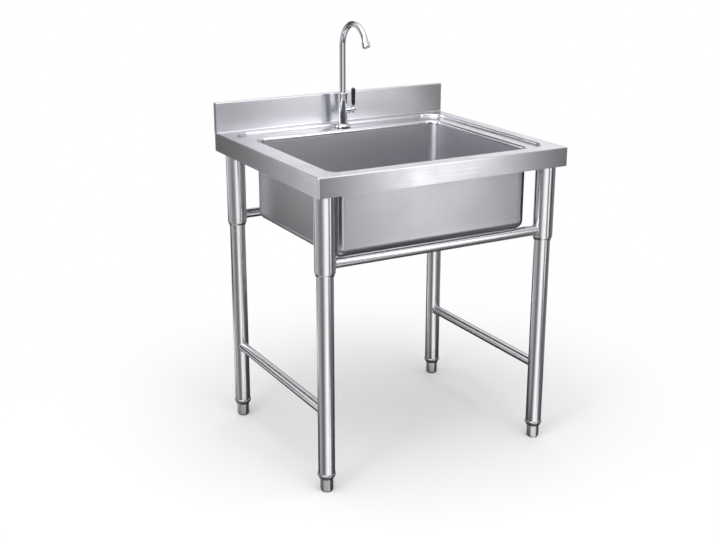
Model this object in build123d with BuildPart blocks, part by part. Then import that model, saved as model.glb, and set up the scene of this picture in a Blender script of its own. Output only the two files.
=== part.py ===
"""Free-standing single-bowl stainless sink on a four-legged tube stand, with a swan-neck tap.

Millimetres, +Z up. The origin is on the floor under the middle of the worktop. The user stands
at negative Y, the splashback is at positive Y and the tap's lever is on the positive X side.
"""

import os
from math import cos, radians, sin

from build123d import *

# Overall size of the sink
width = 700.0
depth = 600.0
deck_height = 800.0

# Sheet metal of the worktop, splashback and bowl
sheet = 1.2
fold_radius = 1.4
deck_corner = 2.0
rim_trim = 2.4
apron_drop = 48.0
apron_hem = 5.0
splash_height = 80.0
splash_thickness = 15.0

# Recess pressed into the worktop round the bowl
border_side = 32.0
border_front = 38.0
border_rear = 22.0
recess_drop = 7.0
step_bend_share = 0.48
recess_corner = 50.0
ledge_side = 39.0
ledge_front = 24.0
ledge_rear = 60.0
rim_roll = 5.8
rim_collar = 5.0

# Bowl, measured inside and from the worktop down
bowl_depth = 216.0
bowl_corner = 30.0
bowl_floor_radius = 20.0

# Channels under the worktop and the leg flanges bolted into them
channel_height = 20.0
channel_wall = 1.5
flange_gap = 1.5
flange_thickness = 3.0
flange_length = 68.0
flange_spigot_length = 25.0
flange_spigot_wall = 4.0
stud_diameter = 6.0
stud_edge = 11.0
stud_front_edge = 5.0
stud_tail = 2.0
stud_hole_gap = 0.3
hex_sides = 6
nut_flats = 10.0
nut_thickness = 5.0

# Tube stand
leg_inset_front = 40.0
leg_inset_rear = 50.0
leg_diameter = 41.3
leg_wall = 1.5
sleeve_diameter = 50.8
sleeve_wall = 1.5
sleeve_length = 232.0
neck_length = 2.5
neck_taper = 7.0
shoulder_round = 6.0
bar_diameter = 25.4
bar_wall = 1.2
crossbar_rise = 28.0
side_rail_height = 209.0
lock_screw_rise = 37.0
lock_screw_diameter = 5.0
lock_screw_head = 9.0
lock_screw_head_height = 3.0

# Height-adjusting feet
foot_height = 35.0
foot_diameter = 32.0
foot_flats = 29.0
foot_round = 6.0
foot_stud_diameter = 12.0
foot_stud_length = 38.0
insert_diameter = 46.0
insert_tip = 36.0
insert_band = 3.0
insert_height = 13.0
insert_plug_length = 32.0

# Basket strainer waste in the bowl's floor
drain_hole = 90.0
drain_recess = 118.0
drain_recess_depth = 4.0
drain_flange = 112.0
drain_flange_thickness = 2.5
drain_flange_round = 1.25
cup_diameter = 84.0
cup_wall = 2.0
cup_depth = 46.0
cup_floor = 3.0
basket_shelf_depth = 6.0
basket_shelf_width = 3.0
outlet_diameter = 46.0
outlet_wall = 5.0
outlet_length = 16.0
drain_gasket_diameter = 110.0
drain_gasket_thickness = 3.0
drain_washer_thickness = 1.5
drain_nut_diameter = 104.0
drain_nut_height = 10.0
drain_nut_lugs = 6
drain_nut_lug_width = 14.0
drain_nut_lug_length = 12.0
drain_nut_lug_reach = 4.0

# Lift-out basket
basket_rim_thickness = 1.2
basket_wall = 1.0
basket_depth = 28.0
basket_side_gap = 0.5
basket_hole = 4.0
basket_outer_ring = 8.0
basket_outer_holes = 24
basket_inner_ring = 14.0
basket_inner_holes = 12
basket_slots = 12
basket_slot_width = 3.0
basket_slot_height = 14.0
basket_slot_cut = 4.0
knob_diameter = 20.0
knob_height = 9.0
knob_round = 3.0
knob_stem = 6.0
knob_rise = 8.0
stopper_diameter = 42.0
stopper_thickness = 6.0
stopper_edge = 2.0

# Tailpiece under the waste
tail_diameter = 38.0
tail_wall = 1.2
tail_flange_width = 3.5
tail_flange_thickness = 2.0
tail_length = 24.0
tail_gasket_thickness = 2.0
slip_nut_sides = 8
slip_nut_flats = 60.0
slip_nut_lip = 3.0
slip_nut_engagement = 12.0
tail_groove_width = 1.5
tail_groove_depth = 0.4

# Tap: column, base and deck fixing
tap_hole = 26.0
tap_body_diameter = 25.0
tap_body_height = 77.0
tap_edge = 1.0
tap_base_diameter = 44.0
tap_base_height = 9.0
tap_base_rim = 2.5
tap_base_land = 1.5
tap_base_sweep = 1.25
tap_gasket_diameter = 40.0
tap_gasket_thickness = 2.0
shank_diameter = 20.9
shank_length = 60.0
water_bore = 10.0
tap_washer_diameter = 36.0
tap_washer_thickness = 2.0
tap_nut_flats = 28.0
tap_nut_height = 8.0

# Tap: swivelling swan-neck spout
spout_diameter = 16.5
spout_wall = 1.5
spout_height = 292.0
spout_reach = 130.0
spout_tilt = 26.0
spout_outlet_run = 16.0
spout_plug_height = 10.0
spigot_diameter = 14.0
spigot_length = 25.0
spigot_bore = 8.0
o_ring_section = 2.0
o_ring_count = 2
o_ring_pitch = 10.0
o_ring_first = 8.0
collar_height = 6.0
collar_overhang = 1.0
aerator_diameter = 21.0
aerator_length = 15.0
aerator_overlap = 11.0
screen_thickness = 2.0
screen_recess = 1.0
screen_hole = 1.8
screen_ring_holes = 8
screen_ring_share = 0.6

# Tap: quarter-turn valve and lever
valve_height = 48.0
valve_boss_diameter = 22.0
valve_boss_reach = 17.0
cartridge_diameter = 16.0
cartridge_length = 11.0
bonnet_length = 7.0
bonnet_round = 3.5
stem_diameter = 8.0
stem_socket = 8.0
hub_diameter = 15.0
hub_gap = 1.5
hub_wall = 3.0
hub_tail_diameter = 8.0
hub_tail_length = 11.0
hub_tail_round = 2.0
lever_rod_diameter = 6.0
lever_rod_socket = 3.0
lever_height = 60.0
grip_start = 11.0
grip_foot_diameter = 10.0
grip_top_diameter = 12.0
grip_cap = 5.0
grip_cap_bulge = 1.25
lever_screw_diameter = 4.0
lever_screw_length = 9.0
index_cap_diameter = 9.0
index_cap_thickness = 2.0
index_cap_round = 1.0

# Clearances
running_gap = 0.05
slip_gap = 0.1
weld_gap = 0.05

# Worktop levels and outlines
apron_bottom = deck_height - apron_drop
ledge_height = deck_height - recess_drop
ledge_underside = ledge_height - sheet
collar_bottom = ledge_height - sheet - rim_roll - rim_collar
step_bend = step_bend_share * (recess_drop - sheet)
splash_face = depth / 2 - splash_thickness
recess_front = -depth / 2 + border_front
recess_rear = splash_face - border_rear
recess_width = width - 2 * border_side
recess_length = recess_rear - recess_front
recess_middle = (recess_front + recess_rear) / 2
bowl_front = recess_front + ledge_front
bowl_rear = recess_rear - ledge_rear
bowl_width = recess_width - 2 * ledge_side
bowl_length = bowl_rear - bowl_front
bowl_middle = (bowl_front + bowl_rear) / 2
bowl_floor = deck_height - bowl_depth

# Stand levels and leg places: each leg stands midway between the apron and the bowl's wall
apron_inside = width / 2 - sheet
bowl_side = bowl_width / 2 + sheet
leg_x = (apron_inside + bowl_side) / 2
front_leg_y = -depth / 2 + leg_inset_front
rear_leg_y = depth / 2 - leg_inset_rear
channel_width = apron_inside - bowl_side - 2 * rim_roll
channel_underside = ledge_underside - channel_wall
flange_width = channel_width - 2 * channel_wall - 2 * flange_gap
flange_bottom = channel_underside - flange_thickness
spigot_radius = sleeve_diameter / 2 - sleeve_wall - slip_gap
stud_spread_x = flange_width - 2 * stud_edge
stud_spread_y = flange_length - 2 * stud_front_edge
stud_length = flange_thickness + nut_thickness + stud_tail
leg_bottom = foot_height + insert_height
leg_top = flange_bottom - flange_spigot_length
sleeve_bottom = flange_bottom - sleeve_length
crossbar_height = sleeve_bottom + crossbar_rise
lock_screw_height = crossbar_height + lock_screw_rise

# Waste levels, from the bowl's floor down
drain_y = bowl_middle
drain_seat = bowl_floor - drain_recess_depth
drain_underside = drain_seat - sheet
drain_gasket_bottom = drain_underside - drain_gasket_thickness
drain_washer_bottom = drain_gasket_bottom - drain_washer_thickness
cup_bottom = drain_seat - cup_depth
basket_shelf = drain_seat - basket_shelf_depth
basket_bottom = basket_shelf - basket_depth
cup_mouth_radius = cup_diameter / 2 - cup_wall
cup_bore_radius = cup_mouth_radius - basket_shelf_width
basket_radius = cup_bore_radius - basket_side_gap
basket_rim_radius = cup_mouth_radius - basket_side_gap
outlet_bottom = cup_bottom - outlet_length
tail_top = outlet_bottom - tail_gasket_thickness
tail_flange_radius = tail_diameter / 2 + tail_flange_width
slip_nut_seat = tail_top - tail_flange_thickness

# Tap places, from the rear ledge's upper face
tap_y = (bowl_rear + rim_roll + sheet + recess_rear - step_bend) / 2
tap_base_bottom = ledge_height + tap_gasket_thickness
tap_body_bottom = tap_base_bottom + tap_base_height
tap_body_top = tap_body_bottom + tap_body_height
tap_washer_bottom = ledge_underside - tap_washer_thickness
valve_z = ledge_height + valve_height
spout_radius = spout_diameter / 2
spout_top = ledge_height + spout_height
tilt = radians(spout_tilt)
arch_radius = (spout_reach - spout_outlet_run * sin(tilt)) / (1 + cos(tilt))
arch_base = spout_top - spout_radius - arch_radius
hub_x = valve_boss_reach + bonnet_length + hub_gap + hub_diameter / 2
stem_end = hub_x + hub_diameter / 2 - hub_wall

SIDES = {"left": -1, "right": 1}
ENDS = {"front": front_leg_y, "rear": rear_leg_y}
CORNERS = {
    f"{end}_{side}": (sign * leg_x, y)
    for end, y in ENDS.items()
    for side, sign in SIDES.items()
}


def upright(x, y):
    """Plane standing at (x, y) whose sketch runs along +X and up +Z, for turned profiles."""
    return Plane((x, y, 0), x_dir=(1, 0, 0), z_dir=(0, -1, 0))


def vertical_axis(x, y):
    """Turning axis of a piece that stands at (x, y)."""
    return Axis((x, y, 0), (0, 0, 1))


def finish(piece, label):
    """Names a finished piece and writes it to its own file."""
    piece.part.label = label
    export_step(piece.part, f"parts/{label}.step")


def worktop_form(inset):
    """Solid under the worktop's upper surface, drawn in by the inset everywhere."""
    with BuildPart() as form:
        with BuildSketch(Plane.XY.offset(apron_bottom)):
            RectangleRounded(width - 2 * inset, depth - 2 * inset, deck_corner + sheet - inset)
        extrude(amount=apron_drop - inset)
        fillet(form.faces().sort_by(Axis.Z)[-1].edges(), fold_radius + sheet - inset)
        with BuildSketch(Plane.XY.offset(deck_height - inset)):
            with Locations((0, recess_middle)):
                RectangleRounded(recess_width + 2 * inset, recess_length + 2 * inset, recess_corner + inset)
        extrude(amount=-recess_drop, mode=Mode.SUBTRACT)
        with BuildSketch(Plane.XY.offset(apron_bottom)):
            with Locations((0, bowl_middle)):
                RectangleRounded(bowl_width + 2 * inset, bowl_length + 2 * inset, bowl_corner + inset)
        extrude(amount=apron_drop, mode=Mode.SUBTRACT)
        border = form.faces().filter_by(Plane.XY).group_by(Axis.Z)[-1][0]
        fillet(border.inner_wires()[0].edges(), step_bend + sheet - inset)
        ledge = form.faces().filter_by(Plane.XY).group_by(Axis.Z)[-2][0]
        fillet(ledge.inner_wires()[0].edges(), rim_roll + sheet - inset)
        ledge = form.faces().filter_by(Plane.XY).group_by(Axis.Z)[-2][0]
        fillet(ledge.outer_wire().edges(), step_bend + inset)
    return form.part


def bowl_form(outset):
    """Solid that fills the bowl, grown by the outset everywhere below its mouth."""
    with BuildPart() as form:
        with BuildSketch(Plane.XY.offset(bowl_floor - outset)):
            with Locations((0, bowl_middle)):
                RectangleRounded(bowl_width + 2 * outset, bowl_length + 2 * outset, bowl_corner + outset)
        extrude(amount=collar_bottom - bowl_floor + outset)
        fillet(form.faces().sort_by(Axis.Z)[0].edges(), bowl_floor_radius + outset)
        with BuildSketch(Plane((0, drain_y, bowl_floor - outset))):
            Circle(drain_recess / 2 + outset)
        extrude(amount=-drain_recess_depth)
    return form.part


os.makedirs("parts", exist_ok=True)

# Worktop: pressed border, step, ledge and rolled rim, with a folded and hemmed apron
worktop_skin = worktop_form(0)
worktop_core = worktop_form(sheet)
with BuildPart() as deck:
    add(worktop_skin)
    add(worktop_core, mode=Mode.SUBTRACT)
    with BuildSketch(Plane.XY.offset(apron_bottom)):
        with Locations((0, bowl_middle)):
            Rectangle(bowl_width + 2 * rim_trim, bowl_length + 2 * rim_trim)
    extrude(amount=collar_bottom - apron_bottom, mode=Mode.SUBTRACT)
    with BuildSketch(Plane.XY.offset(apron_bottom)):
        RectangleRounded(width, depth, deck_corner + sheet)
        Rectangle(width - 2 * apron_hem, depth - 2 * apron_hem, mode=Mode.SUBTRACT)
    extrude(amount=sheet)
    with BuildSketch(Plane((0, tap_y, ledge_height))):
        Circle(tap_hole / 2)
    extrude(amount=-sheet, mode=Mode.SUBTRACT)
finish(deck, "deck")

# Splashback: a folded box, open below, that stands on the worktop's rear border
with BuildPart() as splashback:
    with BuildSketch(Plane((0, depth / 2 - splash_thickness / 2, deck_height))):
        Rectangle(width, splash_thickness)
    extrude(amount=splash_height)
    fillet(splashback.faces().sort_by(Axis.Z)[-1].edges().filter_by(Axis.X), fold_radius + sheet)
    offset(amount=-sheet, openings=splashback.faces().sort_by(Axis.Z)[0])
finish(splashback, "splashback")

# Bowl: a drawn tub that is butt welded to the worktop's collar
bowl_outside = bowl_form(sheet)
bowl_inside = bowl_form(0)
with BuildPart() as bowl:
    add(bowl_outside)
    add(bowl_inside, mode=Mode.SUBTRACT)
    with BuildSketch(Plane((0, drain_y, drain_seat))):
        Circle(drain_hole / 2)
    extrude(amount=-sheet, mode=Mode.SUBTRACT)
finish(bowl, "bowl")

# Channels welded under the side ledges, with weld studs for the leg flanges
for side, sign in SIDES.items():
    with BuildPart() as channel:
        with BuildSketch(Plane((sign * leg_x, 0, ledge_underside))):
            Rectangle(channel_width, depth - 2 * sheet)
        extrude(amount=-channel_height)
        with BuildSketch(Plane((sign * leg_x, 0, channel_underside))):
            Rectangle(channel_width - 2 * channel_wall, depth - 2 * sheet)
        extrude(amount=-channel_height, mode=Mode.SUBTRACT)
        for leg_y in ENDS.values():
            with BuildSketch(Plane((sign * leg_x, leg_y, channel_underside))):
                with GridLocations(stud_spread_x, stud_spread_y, 2, 2):
                    Circle(stud_diameter / 2)
            extrude(amount=-stud_length)
    finish(channel, f"channel_{side}")

# Nuts on the weld studs, one group for all the leg flanges
with BuildPart() as flange_nuts:
    for x, y in CORNERS.values():
        with BuildSketch(Plane((x, y, flange_bottom))):
            with GridLocations(stud_spread_x, stud_spread_y, 2, 2):
                RegularPolygon(nut_flats / 2, hex_sides, major_radius=False)
                Circle(stud_diameter / 2 + running_gap, mode=Mode.SUBTRACT)
        extrude(amount=-nut_thickness)
finish(flange_nuts, "flange_nuts")

# Leg sets: flange, sleeve with a necked end, plug-in leg, foot insert and foot
for corner, (x, y) in CORNERS.items():
    with BuildPart() as leg_flange:
        with BuildSketch(Plane((x, y, channel_underside))):
            Rectangle(flange_width, flange_length)
            with GridLocations(stud_spread_x, stud_spread_y, 2, 2):
                Circle(stud_diameter / 2 + stud_hole_gap, mode=Mode.SUBTRACT)
        extrude(amount=-flange_thickness)
        with BuildSketch(Plane((x, y, flange_bottom))):
            Circle(spigot_radius)
            Circle(spigot_radius - flange_spigot_wall, mode=Mode.SUBTRACT)
        extrude(amount=-flange_spigot_length)
    finish(leg_flange, f"leg_flange_{corner}")

    neck_bore = leg_diameter / 2 + slip_gap
    neck_top = sleeve_bottom + neck_length
    taper_top = neck_top + neck_taper
    with BuildPart() as leg_sleeve:
        with BuildSketch(upright(x, y)):
            with BuildLine():
                outside = FilletPolyline(
                    (neck_bore + sleeve_wall, sleeve_bottom),
                    (neck_bore + sleeve_wall, neck_top),
                    (sleeve_diameter / 2, taper_top),
                    (sleeve_diameter / 2, flange_bottom),
                    radius=[shoulder_round, shoulder_round + sleeve_wall],
                )
                inside = FilletPolyline(
                    (neck_bore, sleeve_bottom),
                    (neck_bore, neck_top),
                    (sleeve_diameter / 2 - sleeve_wall, taper_top),
                    (sleeve_diameter / 2 - sleeve_wall, flange_bottom),
                    radius=[shoulder_round + sleeve_wall, shoulder_round],
                )
                Line(outside @ 0, inside @ 0)
                Line(outside @ 1, inside @ 1)
            make_face()
        revolve(axis=vertical_axis(x, y))
        with BuildSketch(Plane((x, y, lock_screw_height), x_dir=(1, 0, 0), z_dir=(0, 1, 0))):
            Circle(lock_screw_diameter / 2 + running_gap)
        extrude(amount=sleeve_diameter, mode=Mode.SUBTRACT)
    finish(leg_sleeve, f"leg_sleeve_{corner}")

    with BuildPart() as lower_leg:
        with BuildSketch(Plane((x, y, leg_bottom))):
            Circle(leg_diameter / 2)
            Circle(leg_diameter / 2 - leg_wall, mode=Mode.SUBTRACT)
        extrude(amount=leg_top - leg_bottom)
    finish(lower_leg, f"lower_leg_{corner}")

    insert_bore = foot_stud_diameter / 2 + running_gap
    plug_radius = leg_diameter / 2 - leg_wall - slip_gap
    with BuildPart() as foot_insert:
        with BuildSketch(upright(x, y)):
            with BuildLine():
                Polyline(
                    (insert_bore, foot_height),
                    (insert_tip / 2, foot_height),
                    (insert_diameter / 2, leg_bottom - insert_band),
                    (insert_diameter / 2, leg_bottom),
                    (plug_radius, leg_bottom),
                    (plug_radius, leg_bottom + insert_plug_length),
                    (insert_bore, leg_bottom + insert_plug_length),
                    close=True,
                )
            make_face()
        revolve(axis=vertical_axis(x, y))
    finish(foot_insert, f"foot_insert_{corner}")

    foot_radius = foot_diameter / 2
    sole_radius = foot_radius - foot_round
    with BuildPart() as foot:
        with BuildSketch(upright(x, y)):
            with BuildLine():
                Polyline((foot_radius, foot_round), (foot_radius, foot_height), (0, foot_height), (0, 0))
                Line((0, 0), (sole_radius, 0))
                CenterArc((sole_radius, foot_round), foot_round, -90, 90)
            make_face()
        revolve(axis=vertical_axis(x, y))
        with BuildSketch(Plane((x, y, 0))):
            RegularPolygon(foot_flats / 2, hex_sides, major_radius=False)
        extrude(amount=foot_height, mode=Mode.INTERSECT)
        with BuildSketch(Plane((x, y, foot_height))):
            Circle(foot_stud_diameter / 2)
        extrude(amount=foot_stud_length)
    finish(foot, f"adjustable_foot_{corner}")

# Screws behind the sleeves that lock the plug-in legs, one group
with BuildPart() as leg_lock_screws:
    for x, y in CORNERS.values():
        screw_tip = y + leg_diameter / 2 + weld_gap
        head_seat = y + sleeve_diameter / 2 + weld_gap
        with BuildSketch(Plane((x, screw_tip, lock_screw_height), x_dir=(1, 0, 0), z_dir=(0, 1, 0))):
            Circle(lock_screw_diameter / 2)
        extrude(amount=head_seat - screw_tip)
        with BuildSketch(Plane((x, head_seat, lock_screw_height), x_dir=(1, 0, 0), z_dir=(0, 1, 0))):
            Circle(lock_screw_head / 2)
        extrude(amount=lock_screw_head_height)
finish(leg_lock_screws, "leg_lock_screws")

# Crossbars between the sleeves, their ends coped to the sleeves they are welded to
for end, leg_y in ENDS.items():
    with BuildPart() as crossbar:
        with BuildSketch(Plane((0, leg_y, crossbar_height), x_dir=(0, 1, 0), z_dir=(1, 0, 0))):
            Circle(bar_diameter / 2)
            Circle(bar_diameter / 2 - bar_wall, mode=Mode.SUBTRACT)
        extrude(amount=leg_x, both=True)
        with Locations((-leg_x, leg_y, crossbar_height), (leg_x, leg_y, crossbar_height)):
            Cylinder(sleeve_diameter / 2 + weld_gap, 2 * bar_diameter, mode=Mode.SUBTRACT)
    finish(crossbar, f"{end}_crossbar")

# Side rails between the front and rear legs, coped in the same way
rail_middle = (front_leg_y + rear_leg_y) / 2
rail_half = (rear_leg_y - front_leg_y) / 2
for side, sign in SIDES.items():
    rail_plane = Plane((sign * leg_x, rail_middle, side_rail_height), x_dir=(1, 0, 0), z_dir=(0, 1, 0))
    with BuildPart() as side_rail:
        with BuildSketch(rail_plane):
            Circle(bar_diameter / 2)
            Circle(bar_diameter / 2 - bar_wall, mode=Mode.SUBTRACT)
        extrude(amount=rail_half, both=True)
        with Locations(*[(sign * leg_x, leg_y, side_rail_height) for leg_y in ENDS.values()]):
            Cylinder(leg_diameter / 2 + weld_gap, 2 * bar_diameter, mode=Mode.SUBTRACT)
    finish(side_rail, f"{side}_side_rail")

# Waste body: flange in the bowl, cup below it with a shelf for the basket, threaded outlet
with BuildPart() as drain_body:
    with BuildSketch(upright(0, drain_y)):
        with BuildLine():
            Polyline(
                (cup_mouth_radius, drain_seat + drain_flange_thickness),
                (drain_flange / 2, drain_seat + drain_flange_thickness),
                (drain_flange / 2, drain_seat),
                (cup_diameter / 2, drain_seat),
                (cup_diameter / 2, cup_bottom),
                (outlet_diameter / 2, cup_bottom),
                (outlet_diameter / 2, outlet_bottom),
                (outlet_diameter / 2 - outlet_wall, outlet_bottom),
                (outlet_diameter / 2 - outlet_wall, cup_bottom + cup_floor),
                (cup_bore_radius, cup_bottom + cup_floor),
                (cup_bore_radius, basket_shelf),
                (cup_mouth_radius, basket_shelf),
                close=True,
            )
        make_face()
    revolve(axis=vertical_axis(0, drain_y))
    rim = drain_body.faces().sort_by(Axis.Z)[-1]
    fillet(rim.outer_wire().edges(), drain_flange_round)
finish(drain_body, "drain_body")

with BuildPart() as drain_gasket:
    with BuildSketch(Plane((0, drain_y, drain_underside))):
        Circle(drain_gasket_diameter / 2)
        Circle(cup_diameter / 2 + slip_gap, mode=Mode.SUBTRACT)
    extrude(amount=-drain_gasket_thickness)
finish(drain_gasket, "drain_gasket")

with BuildPart() as drain_washer:
    with BuildSketch(Plane((0, drain_y, drain_gasket_bottom))):
        Circle(drain_gasket_diameter / 2)
        Circle(cup_diameter / 2 + slip_gap, mode=Mode.SUBTRACT)
    extrude(amount=-drain_washer_thickness)
finish(drain_washer, "drain_washer")

lug_middle = (drain_nut_diameter - drain_nut_lug_length) / 2 + drain_nut_lug_reach
with BuildPart() as drain_lock_nut:
    with BuildSketch(Plane((0, drain_y, drain_washer_bottom))):
        Circle(drain_nut_diameter / 2)
        with PolarLocations(lug_middle, drain_nut_lugs):
            Rectangle(drain_nut_lug_length, drain_nut_lug_width)
        Circle(cup_diameter / 2 + running_gap, mode=Mode.SUBTRACT)
    extrude(amount=-drain_nut_height)
finish(drain_lock_nut, "drain_lock_nut")

# Lift-out basket: rim on the waste's shelf, slotted wall, perforated floor
basket_inner = basket_radius - basket_wall
with BuildPart() as basket:
    with BuildSketch(upright(0, drain_y)):
        with BuildLine():
            Polyline(
                (0, basket_bottom),
                (basket_radius, basket_bottom),
                (basket_radius, basket_shelf),
                (basket_rim_radius, basket_shelf),
                (basket_rim_radius, basket_shelf + basket_rim_thickness),
                (basket_inner, basket_shelf + basket_rim_thickness),
                (basket_inner, basket_bottom + basket_wall),
                (0, basket_bottom + basket_wall),
                close=True,
            )
        make_face()
    revolve(axis=vertical_axis(0, drain_y))
    with BuildSketch(Plane((0, drain_y, basket_bottom))):
        with PolarLocations(basket_radius - basket_outer_ring, basket_outer_holes):
            Circle(basket_hole / 2)
        with PolarLocations(basket_radius - basket_inner_ring, basket_inner_holes, 180 / basket_inner_holes):
            Circle(basket_hole / 2)
    extrude(amount=basket_wall, mode=Mode.SUBTRACT)
    with BuildSketch(Plane((0, drain_y, basket_bottom + (basket_depth - basket_slot_height) / 2))):
        with PolarLocations(basket_radius, basket_slots):
            Rectangle(basket_slot_cut, basket_slot_width)
    extrude(amount=basket_slot_height, mode=Mode.SUBTRACT)
finish(basket, "strainer_basket")

knob_base = drain_seat + drain_flange_thickness + knob_rise
with BuildPart() as basket_knob:
    with BuildSketch(Plane((0, drain_y, basket_bottom + basket_wall))):
        Circle(knob_stem / 2)
    extrude(amount=knob_base - basket_bottom - basket_wall)
    with BuildSketch(Plane((0, drain_y, knob_base))):
        Circle(knob_diameter / 2)
    extrude(amount=knob_height)
    fillet(basket_knob.faces().sort_by(Axis.Z)[-1].edges(), knob_round)
finish(basket_knob, "basket_knob")

with BuildPart() as basket_stopper:
    with BuildSketch(Plane((0, drain_y, basket_bottom))):
        Circle(stopper_diameter / 2)
    extrude(amount=-stopper_thickness)
    chamfer(basket_stopper.faces().sort_by(Axis.Z)[0].edges(), stopper_edge)
finish(basket_stopper, "basket_stopper")

# Tailpiece, its gasket and the slip nut that draws it up to the waste's outlet
with BuildPart() as tail_gasket:
    with BuildSketch(Plane((0, drain_y, outlet_bottom))):
        Circle(tail_flange_radius)
        Circle(outlet_diameter / 2 - outlet_wall, mode=Mode.SUBTRACT)
    extrude(amount=-tail_gasket_thickness)
finish(tail_gasket, "tailpiece_gasket")

with BuildPart() as tailpiece:
    with BuildSketch(Plane((0, drain_y, tail_top))):
        Circle(tail_flange_radius)
        Circle(tail_diameter / 2 - tail_wall, mode=Mode.SUBTRACT)
    extrude(amount=-tail_flange_thickness)
    with BuildSketch(Plane((0, drain_y, slip_nut_seat))):
        Circle(tail_diameter / 2)
        Circle(tail_diameter / 2 - tail_wall, mode=Mode.SUBTRACT)
    extrude(amount=-tail_length)
    with BuildSketch(Plane((0, drain_y, slip_nut_seat - slip_nut_lip))):
        Circle(tail_diameter / 2)
        Circle(tail_diameter / 2 - tail_groove_depth, mode=Mode.SUBTRACT)
    extrude(amount=-tail_groove_width, mode=Mode.SUBTRACT)
finish(tailpiece, "drain_tailpiece")

with BuildPart() as slip_nut:
    with BuildSketch(Plane((0, drain_y, slip_nut_seat - slip_nut_lip))):
        RegularPolygon(slip_nut_flats / 2, slip_nut_sides, major_radius=False)
    extrude(amount=outlet_bottom + slip_nut_engagement - slip_nut_seat + slip_nut_lip)
    with BuildSketch(Plane((0, drain_y, slip_nut_seat))):
        Circle(outlet_diameter / 2 + running_gap)
    extrude(amount=outlet_bottom + slip_nut_engagement - slip_nut_seat, mode=Mode.SUBTRACT)
    with BuildSketch(Plane((0, drain_y, slip_nut_seat))):
        Circle(tail_diameter / 2 + running_gap)
    extrude(amount=-slip_nut_lip, mode=Mode.SUBTRACT)
finish(slip_nut, "tailpiece_slip_nut")

# Tap column with its side valve boss, spout socket and threaded shank
valve_plane = Plane((0, tap_y, valve_z), x_dir=(0, 1, 0), z_dir=(1, 0, 0))
cartridge_seat = valve_boss_reach - cartridge_length
with BuildPart() as tap_body:
    with BuildSketch(Plane((0, tap_y, tap_body_bottom))):
        Circle(tap_body_diameter / 2)
    extrude(amount=tap_body_height)
    chamfer(tap_body.edges().filter_by(GeomType.CIRCLE).sort_by(Axis.Z)[0], tap_edge)
    with BuildSketch(valve_plane):
        Circle(valve_boss_diameter / 2)
    extrude(amount=valve_boss_reach)
    with BuildSketch(Plane((0, tap_y, tap_body_bottom))):
        Circle(shank_diameter / 2)
    extrude(amount=-shank_length)
    with BuildSketch(Plane((0, tap_y, tap_body_bottom - shank_length))):
        Circle(water_bore / 2)
    extrude(amount=shank_length + tap_body_height, mode=Mode.SUBTRACT)
    with BuildSketch(Plane((0, tap_y, tap_body_top))):
        Circle(spigot_diameter / 2 + running_gap)
    extrude(amount=-spigot_length - o_ring_section, mode=Mode.SUBTRACT)
    with BuildSketch(valve_plane.offset(cartridge_seat)):
        Circle(cartridge_diameter / 2)
    extrude(amount=cartridge_length, mode=Mode.SUBTRACT)
finish(tap_body, "tap_body")

with BuildPart() as tap_base:
    shank_bore = shank_diameter / 2 + slip_gap
    with BuildSketch(upright(0, tap_y)):
        with BuildLine():
            rim_top = (tap_base_diameter / 2, tap_base_bottom + tap_base_rim)
            land = (tap_body_diameter / 2 + tap_base_land, tap_body_bottom)
            Polyline(
                land,
                (shank_bore, tap_body_bottom),
                (shank_bore, tap_base_bottom),
                (tap_base_diameter / 2, tap_base_bottom),
                rim_top,
            )
            SagittaArc(rim_top, land, -tap_base_sweep)
        make_face()
    revolve(axis=vertical_axis(0, tap_y))
finish(tap_base, "tap_base_flange")

with BuildPart() as tap_gasket:
    with BuildSketch(Plane((0, tap_y, ledge_height))):
        Circle(tap_gasket_diameter / 2)
        Circle(tap_hole / 2, mode=Mode.SUBTRACT)
    extrude(amount=tap_gasket_thickness)
finish(tap_gasket, "tap_base_gasket")

with BuildPart() as tap_washer:
    with BuildSketch(Plane((0, tap_y, ledge_underside))):
        Circle(tap_washer_diameter / 2)
        Circle(shank_diameter / 2 + slip_gap, mode=Mode.SUBTRACT)
    extrude(amount=-tap_washer_thickness)
finish(tap_washer, "tap_backing_washer")

with BuildPart() as tap_lock_nut:
    with BuildSketch(Plane((0, tap_y, tap_washer_bottom))):
        RegularPolygon(tap_nut_flats / 2, hex_sides, major_radius=False)
        Circle(shank_diameter / 2 + running_gap, mode=Mode.SUBTRACT)
    extrude(amount=-tap_nut_height)
finish(tap_lock_nut, "tap_lock_nut")

with BuildPart() as spout_collar:
    with BuildSketch(Plane((0, tap_y, tap_body_top))):
        Circle(tap_body_diameter / 2 + collar_overhang)
        Circle(spout_radius + running_gap, mode=Mode.SUBTRACT)
    extrude(amount=collar_height)
    chamfer(spout_collar.faces().sort_by(Axis.Z)[-1].outer_wire().edges(), tap_edge)
finish(spout_collar, "spout_collar")

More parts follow.
